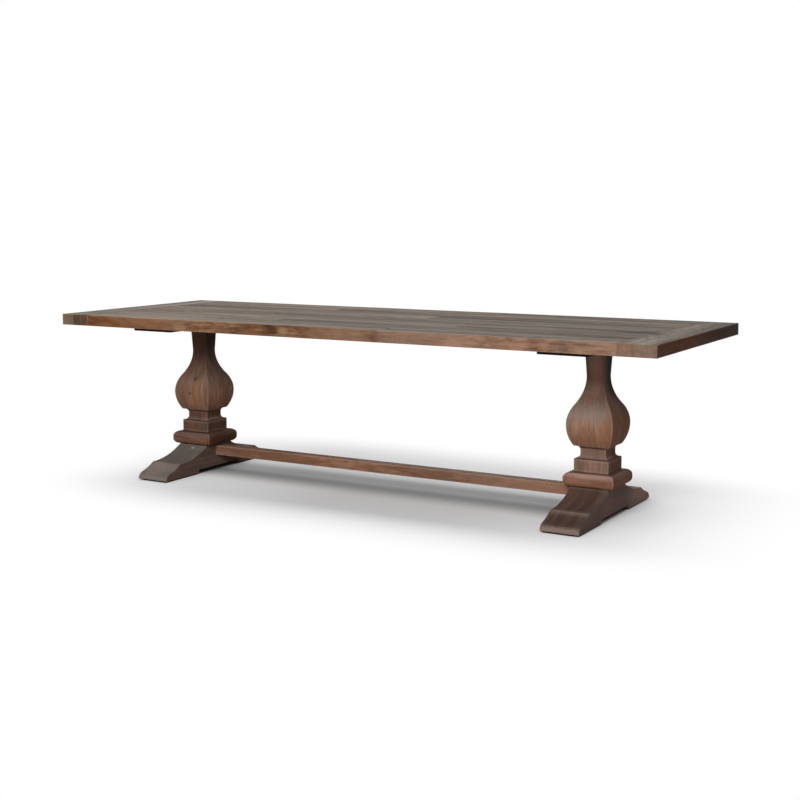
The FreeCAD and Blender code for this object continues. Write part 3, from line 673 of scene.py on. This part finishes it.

# Knots, patches and streaks of single pieces, and on some of them painted shade, highlights and sheen:
# place, radii, colour and amount
KNOT = srgb(52, 37, 30)
PALE_PATCH = srgb(160, 128, 98)
# painted highlight along the toe's nose
NOSE_HIGHLIGHT = srgb(146, 126, 118)
# painted sheen along the step
STEP_SHEEN = srgb(120, 104, 96)
GLUE_LINE = srgb(186, 164, 142)
DARK_STAIN = srgb(30, 28, 28)
# painted sheen on the upper face
PALE_TOP_SHEEN = srgb(168, 155, 140)
MARKS = {
    "plank_1_left": (
        ((-1.02, -0.5, 0.72), (0.36, 0.05, 0.06), srgb(128, 80, 44), 0.5),
        # painted sheen: paler upper face at the left front
        ((-0.95, -0.43, 0.752), (0.55, 0.10, 0.010), PALE_TOP_SHEEN, 0.5),
        ((0.10, -0.5, 0.727), (0.26, 0.05, 0.06), srgb(138, 108, 88), 0.6),
        ((-0.725, -0.5, 0.722), (0.045, 0.04, 0.035), PALE_PATCH, 0.5),
        ((-0.235, -0.5, 0.725), (0.030, 0.03, 0.018), KNOT, 0.5),
        ((-1.2495, -0.5, 0.727), (0.0035, 0.01, 0.06), GLUE_LINE, 0.5),
        ((-0.185, -0.5, 0.725), (0.034, 0.03, 0.024), PALE_PATCH, 0.45),
    ),
    "plank_1_right": (
        ((0.50, -0.5, 0.73), (0.30, 0.05, 0.06), srgb(150, 119, 99), 0.5),
        ((1.046, -0.5, 0.722), (0.024, 0.03, 0.019), srgb(84, 66, 58), 0.55),
        ((1.2495, -0.5, 0.727), (0.0030, 0.01, 0.06), GLUE_LINE, 0.3),
    ),
    "plank_2_left": (
        # painted sheen: paler upper face at the left
        ((-1.0, -0.29, 0.752), (0.5, 0.09, 0.010), PALE_TOP_SHEEN, 0.35),
    ),
    "plank_3_right": (
        ((1.19, -0.105, 0.75), (0.12, 0.040, 0.03), DARK_STAIN, 0.95),
    ),
    "plank_4_right": (
        ((1.22, -0.035, 0.75), (0.09, 0.036, 0.03), DARK_STAIN, 0.85),
    ),
    "right_inner_end_board": (
        ((1.300, -0.5, 0.72), (0.028, 0.04, 0.06), srgb(146, 98, 66), 0.15),
        ((1.270, -0.12, 0.75), (0.022, 0.08, 0.03), DARK_STAIN, 0.7),
    ),
    "right_outer_end_board": (
        # painted shade: end face darker towards the back
        ((1.40, 0.34, 0.727), (0.02, 0.45, 0.1), srgb(30, 12, 3), 0.85),
    ),
    "left_column": (
        # painted shade: neck darkened below the top
        ((-0.988, 0.0, 0.64), (0.10, 0.10, 0.12), srgb(88, 54, 40), 0.6),
        # painted shade: scotia darkened under the lip
        ((-0.988, 0.0, 0.257), (0.14, 0.14, 0.032), srgb(68, 48, 41), 0.75),
        # painted shade on the right face of the neck
        ((-0.942, 0.0, 0.62), (0.02, 0.10, 0.12), srgb(34, 23, 19), 0.7),
        # painted shade on the right face of the scotia
        ((-0.925, 0.02, 0.257), (0.030, 0.12, 0.035), srgb(40, 29, 25), 0.6),
        ((-0.974, -0.09, 0.432), (0.012, 0.04, 0.015), KNOT, 0.8),
        ((-0.998, -0.097, 0.364), (0.008, 0.04, 0.009), KNOT, 0.8),
        ((-0.962, -0.094, 0.37), (0.019, 0.05, 0.090), srgb(156, 106, 66), 0.65),
        ((-0.895, 0.03, 0.33), (0.03, 0.05, 0.06), srgb(124, 72, 52), 0.3),
    ),
    "right_column": (
        # painted shade: scotia darkened under the lip
        ((0.988, -0.05, 0.257), (0.14, 0.10, 0.032), srgb(108, 88, 80), 0.6),
        # painted sheen: greyer upper belly
        ((0.988, -0.09, 0.43), (0.13, 0.05, 0.08), srgb(142, 124, 115), 0.65),
        ((1.075, 0.0, 0.39), (0.04, 0.2, 0.11), srgb(126, 86, 54), 0.5),
        # painted light: neck front lightened where the top shades it
        ((0.986, -0.044, 0.60), (0.055, 0.022, 0.20), srgb(180, 142, 125), 0.75),
        # painted shade on the right face of the neck
        ((1.036, 0.02, 0.60), (0.030, 0.10, 0.22), srgb(18, 10, 6), 0.95),
        ((1.070, 0.02, 0.51), (0.035, 0.12, 0.07), srgb(100, 68, 42), 0.55),
        # painted shade on the right face of the scotia
        ((1.060, 0.02, 0.262), (0.030, 0.12, 0.035), srgb(44, 30, 24), 0.8),
        ((0.988, -0.09, 0.31), (0.10, 0.04, 0.035), srgb(112, 76, 56), 0.3),
    ),
    "right_base_block": (
        # painted shade on the right face
        ((1.061, 0.02, 0.21), (0.020, 0.12, 0.08), srgb(88, 54, 34), 0.6),
    ),
    "left_base_block": (
        # painted shade on the right face
        ((-0.915, 0.0, 0.21), (0.025, 0.2, 0.1), srgb(62, 43, 36), 0.7),
        ((-0.942, -0.073, 0.21), (0.030, 0.03, 0.1), srgb(92, 78, 70), 0.6),
    ),
    "left_plinth": (
        # painted shade on the right face
        ((-0.88, 0.0, 0.154), (0.03, 0.25, 0.12), srgb(64, 37, 25), 0.9),
    ),
    "right_plinth": (
        # painted highlight on the top round
        ((0.988, -0.10, 0.178), (0.16, 0.04, 0.020), srgb(176, 144, 132), 0.6),
    ),
    "left_foot": (
        ((-0.908, 0.25, 0.05), (0.03, 0.20, 0.1), srgb(134, 92, 68), 0.6),
        ((-0.976, -0.11, 0.112), (0.016, 0.010, 0.008), srgb(200, 184, 170), 0.7),
        # painted sheen: greyer, lighter toe top
        ((-1.000, -0.33, 0.050), (0.13, 0.09, 0.05), srgb(152, 138, 127), 0.85),
        # painted highlight along the toe's nose
        ((-0.988, -0.392, 0.010), (0.30, 0.03, 0.034), NOSE_HIGHLIGHT, 0.7),
    ),
    "right_foot": (
        ((0.988, -0.345, 0.045), (0.30, 0.05, 0.04), srgb(66, 47, 38), 0.6),
        # painted highlight along the toe's nose
        ((0.988, -0.392, 0.010), (0.30, 0.03, 0.032), NOSE_HIGHLIGHT, 0.65),
        ((1.068, -0.26, 0.04), (0.03, 0.16, 0.1), srgb(62, 44, 43), 0.4),
        ((1.068, 0.28, 0.05), (0.03, 0.22, 0.1), srgb(172, 137, 123), 0.95),
        # painted sheen along the step
        ((0.988, -0.286, 0.073), (0.30, 0.03, 0.022), STEP_SHEEN, 0.45),
    ),
    "stretcher": (
        ((-0.65, 0.0, 0.093), (0.45, 0.2, 0.2), srgb(118, 74, 48), 0.55),
        ((0.65, 0.0, 0.093), (0.40, 0.2, 0.2), srgb(154, 118, 98), 0.5),
    ),
}


def fitted(name, form, grain, wood_tones, seed, **settings):
    """Wood of one piece, with its own marks."""
    return timber(name, form, grain, wood_tones, seed, MARKS.get(name, ()), **settings)


def build_top():
    """Planks and cross boards of the tabletop."""
    # grey on the upper faces of the top is partly grey wash and partly painted sheen
    look = {"wash": 0.08, "top_wash": 0.55, "warmth": 0.25, "wear": 0.15, "top_contrast": 1.25}
    for row in range(1, PLANK_ROWS + 1):
        for number, side in enumerate(SIDES):
            name = f"plank_{row}_{side}"
            low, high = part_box(name)
            front, back = row == 1, row == PLANK_ROWS
            arrises = [FREE_ARRIS if front else LEAST_ARRIS, FREE_ARRIS if back else LEAST_ARRIS,
                       FREE_ARRIS if back else SEAM_ARRIS, FREE_ARRIS if front else SEAM_ARRIS]
            front_wear = PALE_WEAR_AND_HIGHLIGHT if front else SEAM_GRIME
            back_wear = PALE_WEAR_AND_HIGHLIGHT if back else SEAM_GRIME
            worn = [front_wear, back_wear, back_wear, front_wear]
            ends = [(SEAM_ARRIS, SEAM_GRIME), (BUTT_ARRIS, BUTT_GRIME)]
            seed = 2 * row + number
            rings = board(low, high, 0, arrises, worn, ends if side == "left" else ends[::-1], seed)
            edge_tones = EDGE_TONES.get(name, COMMON_EDGE_TONES)
            wood = fitted(name, "board", "x", edge_tones, seed, top_tones=PLANK_TOP_TONES_AND_SHEEN[side], waviness=0.03,
                          contrast=1.35, **look)
            dressed(name, rings, "plank_wood", wood)
    for side in SIDES:
        for place in ("inner", "outer"):
            name = f"{side}_{place}_end_board"
            low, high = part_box(name)
            free_low = place == "outer" and side == "left"
            free_high = place == "outer" and side == "right"
            arrises = [FREE_ARRIS if free_low else LEAST_ARRIS, FREE_ARRIS if free_high else LEAST_ARRIS,
                       FREE_ARRIS if free_high else SEAM_ARRIS, FREE_ARRIS if free_low else SEAM_ARRIS]
            low_wear = PALE_WEAR_AND_HIGHLIGHT if free_low else SEAM_GRIME
            high_wear = PALE_WEAR_AND_HIGHLIGHT if free_high else SEAM_GRIME
            worn = [low_wear, high_wear, high_wear, low_wear]
            seed = 20 + 2 * SIDES.index(side) + (place == "outer")
            rings = board(low, high, 1, arrises, worn, [(FREE_ARRIS, PALE_WEAR_AND_HIGHLIGHT)] * 2, seed)
            edge_tones = EDGE_TONES.get(name, COMMON_EDGE_TONES)
            wood = fitted(name, "board", "y", edge_tones, seed, top_tones=END_BOARD_TOP_TONES_AND_SHEEN[side],
                          side_tones=END_FACE_TONES_AND_SHADE, contrast=0.7, **look)
            dressed(name, rings, "end_board_wood", wood)


def build_pedestals():
    """Columns, base blocks, plinths and feet."""
    outlines = {"column": column_outline, "base_block": block_outline, "plinth": plinth_outline}
    for number, side in enumerate(SIDES):
        tones = {"column": COLUMN_TONES, "base_block": BLOCK_TONES_AND_SHADE[side], "plinth": PLINTH_TONES}
        for index, (kind, outline) in enumerate(outlines.items()):
            name = f"{side}_{kind}"
            low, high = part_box(name)
            seed = 30 + 4 * number + index
            grain = "face" if kind == "plinth" else "z"
            wood = fitted(name, "turned", grain, tones[kind], seed, middle=(low + high) / 2, wash=0.05,
                          top_wash=0.3, wear=0.45, waviness=0.006,
                          contrast=0.7 if kind == "plinth" else 0.55)
            dressed(name, square_turning(low, high, outline(low, high), seed), "pedestal_wood", wood)
        name = f"{side}_foot"
        pads = [f"{side}_{end}_foot_pad" for end in ("front", "back")]
        boxes = [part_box(node) for node in (name, *pads)]
        low = Vector([min(box[0][axis] for box in boxes) for axis in range(3)])
        high = Vector([max(box[1][axis] for box in boxes) for axis in range(3)])
        seed = 50 + number
        wood = fitted(name, "foot", "y", FOOT_SIDE_TONES_AND_SHADE[side], seed, top_tones=FOOT_TONES_AND_SHEEN[side],
                      contrast=0.7, top_contrast=0.4, wash=0.06, top_wash=0.12, warmth=0.1, wear=0.35)
        dressed(name, foot_rings(low, high, seed), "foot_wood", wood, *pads)


def build_stretcher():
    """Rail between the feet."""
    low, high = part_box("stretcher")
    shoulders = (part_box("left_foot")[1].x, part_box("right_foot")[0].x)
    wood = fitted("stretcher", "board", "x", STRETCHER_TONES, 60, wash=0.15)
    dressed("stretcher", stretcher_rings(low, high, shoulders, 60), "stretcher_wood", wood)


def finish_hardware():
    """Finishes of the nodes that keep their own shape."""
    finishes = {
        "joint_wood": timber("beech", "board", "x", BEECH_TONES, 70, wash=0.0),
        "black_board": black_paint(),
        "steel": zinc_steel(),
        "glide_plastic": glide_plastic(),
    }
    for row in frame["record"]["subparts"]:
        if row["material_slot"] in finishes:
            slots = frame["nodes"][row["node"]].data.materials
            slots.clear()
            slots.append(finishes[row["material_slot"]])


# Stage, camera and light

# Floor: its reach in metres and its greys for bounced light, in plain light and in the painted contact and
# stretcher shadow
FLOOR_REACH = 40.0
FLOOR_BOUNCE = 0.30
FLOOR_MATT = 0.80
FLOOR_DARK = 0.01

# Painted shadow on the floor, over the cast one: a wide one below the top, its dark core, one below the
# stretcher and one at the feet
SHADOW_MIDDLE = (0.1, 0.09)
SHADOW_HALF = (0.65, 0.48)
SHADOW_STRETCH = 0.5
SHADOW_FADE = (0.0, 0.52)
CORE_MIDDLE = (0.2, -0.3)
CORE_FADES = ((0.2, 0.85), (0.1, 0.35))
CORE_DARK = 0.22
RAIL_FADE = (0.0, 0.2)
RAIL_ENDS = (0.9, 1.0)
RAIL_DARK = 0.6
LEAST_WHITE = 0.3
CONTACT_REACH = 0.25
CONTACT_FADE = (0.05, 0.5)

# Camera: metres, millimetres, shares of the picture's width and degrees
CAMERA_PLACE = (2.94935, -4.98631, 1.23846)
CAMERA_SENSOR = 36.0
CAMERA_LENS = 60.454
CAMERA_SHIFT = (0.01732, -0.09174)
CAMERA_DIP = 5.18257
CAMERA_TURN = 30.52901
CAMERA_ROLL = -0.1481


def plainly_seen(finish):
    """1 for rays that see the background plainly: from the camera, a reflection or glass."""
    path = finish.outputs("ShaderNodeLightPath")
    return path["Is Camera Ray"].highest(path["Is Glossy Ray"]).highest(path["Is Transmission Ray"])


def build_floor():
    """Pale floor that takes the cast shadow near the table, with painted shadow below the top, below the
    stretcher and at the feet, and is plain white further out.
    """
    mesh = bpy.data.meshes.new("floor")
    corners = [(-FLOOR_REACH, -FLOOR_REACH, 0), (FLOOR_REACH, -FLOOR_REACH, 0),
               (FLOOR_REACH, FLOOR_REACH, 0), (-FLOOR_REACH, FLOOR_REACH, 0)]
    mesh.from_pydata(corners, [], [(0, 1, 2, 3)])
    floor = bpy.data.objects.new("floor", mesh)
    bpy.context.scene.collection.objects.link(floor)
    pale = Finish(bpy.data.materials.new("pale_floor"))
    x, y, z = pale.parts(pale.node("ShaderNodeTexCoord", None, None, "Object"))
    over_x = ((x - SHADOW_MIDDLE[0]).size() - SHADOW_HALF[0]).highest(0.0) * SHADOW_STRETCH
    over_y = ((y - SHADOW_MIDDLE[1]).size() - SHADOW_HALF[1]).highest(0.0)
    away = (over_x * over_x + over_y * over_y).root()
    # painted contact shadow from ambient occlusion, at the feet and below the stretcher
    contact = pale.node("ShaderNodeAmbientOcclusion", {"samples": 8}, {"Distance": CONTACT_REACH}, "AO")
    # painted shadow: less white below the top and in its dark core
    beside_x = (x - CORE_MIDDLE[0]).size().rise(*CORE_FADES[0])
    beside_y = (y - CORE_MIDDLE[1]).size().rise(*CORE_FADES[1])
    least = LEAST_WHITE - (1 - beside_x) * (1 - beside_y) * CORE_DARK
    white_share = contact * (least + (1 - least) * away.rise(*SHADOW_FADE))
    # painted shadow below the stretcher, with black mixed in
    under_rail = (1 - y.size().rise(*RAIL_FADE)) * (1 - x.size().rise(*RAIL_ENDS))
    bright = contact.rise(*CONTACT_FADE) * (1 - under_rail * RAIL_DARK)
    seen = plainly_seen(pale)
    dull = pale.node("ShaderNodeBsdfDiffuse", None, {"Color": (FLOOR_BOUNCE,) * 3 + (1,)})
    matt = pale.node("ShaderNodeBsdfDiffuse", None, {"Color": (FLOOR_MATT,) * 3 + (1,)})
    white = pale.node("ShaderNodeEmission", None, {"Color": (1, 1, 1, 1), "Strength": 1.0})
    lit = pale.node("ShaderNodeMixShader", None, {0: white_share, 1: matt, 2: white})
    black = pale.node("ShaderNodeBsdfDiffuse", None, {"Color": (FLOOR_DARK,) * 3 + (1,)})
    shown = pale.node("ShaderNodeMixShader", None, {0: bright, 1: black, 2: lit})
    surface = pale.node("ShaderNodeMixShader", None, {0: seen, 1: dull, 2: shown})
    pale.node("ShaderNodeOutputMaterial", None, {"Surface": surface})
    mesh.materials.append(pale.owner)


def build_world():
    """White background, with a weaker grey light from all round."""
    sky = Finish(bpy.data.worlds.new("studio"))
    bpy.context.scene.world = sky.owner
    weak = sky.node("ShaderNodeBackground", None, {"Color": (1, 1, 1, 1), "Strength": 0.06})
    white = sky.node("ShaderNodeBackground", None, {"Color": (1, 1, 1, 1), "Strength": 1.0})
    shown = sky.node("ShaderNodeMixShader", None, {0: plainly_seen(sky), 1: weak, 2: white})
    sky.node("ShaderNodeOutputWorld", None, {"Surface": shown})


def softbox(name, place, target, width, height, power):
    """Rectangular area light that faces a point."""
    lamp = bpy.data.lights.new(name, "AREA")
    lamp.shape = "RECTANGLE"
    lamp.size = width
    lamp.size_y = height
    lamp.energy = power
    holder = bpy.data.objects.new(name, lamp)
    holder.location = place
    holder.rotation_euler = (Vector(target) - Vector(place)).to_track_quat("-Z", "Y").to_euler()
    holder.visible_camera = False
    bpy.context.scene.collection.objects.link(holder)


def build_camera():
    """Camera at the photograph's place; its shift follows the photograph's framing."""
    lens = bpy.data.cameras.new("camera")
    lens.sensor_width = CAMERA_SENSOR
    lens.lens = CAMERA_LENS
    lens.shift_x, lens.shift_y = CAMERA_SHIFT
    camera = bpy.data.objects.new("camera", lens)
    camera.location = CAMERA_PLACE
    level = Euler((math.radians(90 - CAMERA_DIP), 0.0, math.radians(CAMERA_TURN))).to_matrix()
    camera.rotation_euler = (level @ Matrix.Rotation(math.radians(CAMERA_ROLL), 3, "Z")).to_euler()
    bpy.context.scene.collection.objects.link(camera)
    bpy.context.scene.camera = camera


build_top()
build_pedestals()
build_stretcher()
finish_hardware()
build_floor()
build_world()
softbox("overhead", (0.0, 0.5, 3.4), (0.0, 0.3, 0.0), 4.2, 2.6, 80.0)
softbox("key", (1.2, -4.4, 2.7), (0.2, 0.0, 0.45), 2.6, 1.4, 225.0)
softbox("fill", (4.2, -2.4, 0.9), (0.9, 0.0, 0.35), 1.6, 1.2, 18.0)
softbox("rear", (-1.6, 4.6, 0.5), (0.0, 0.0, 0.4), 2.6, 0.4, 55.0)
build_camera()
bpy.context.scene.view_settings.view_transform = "Standard"
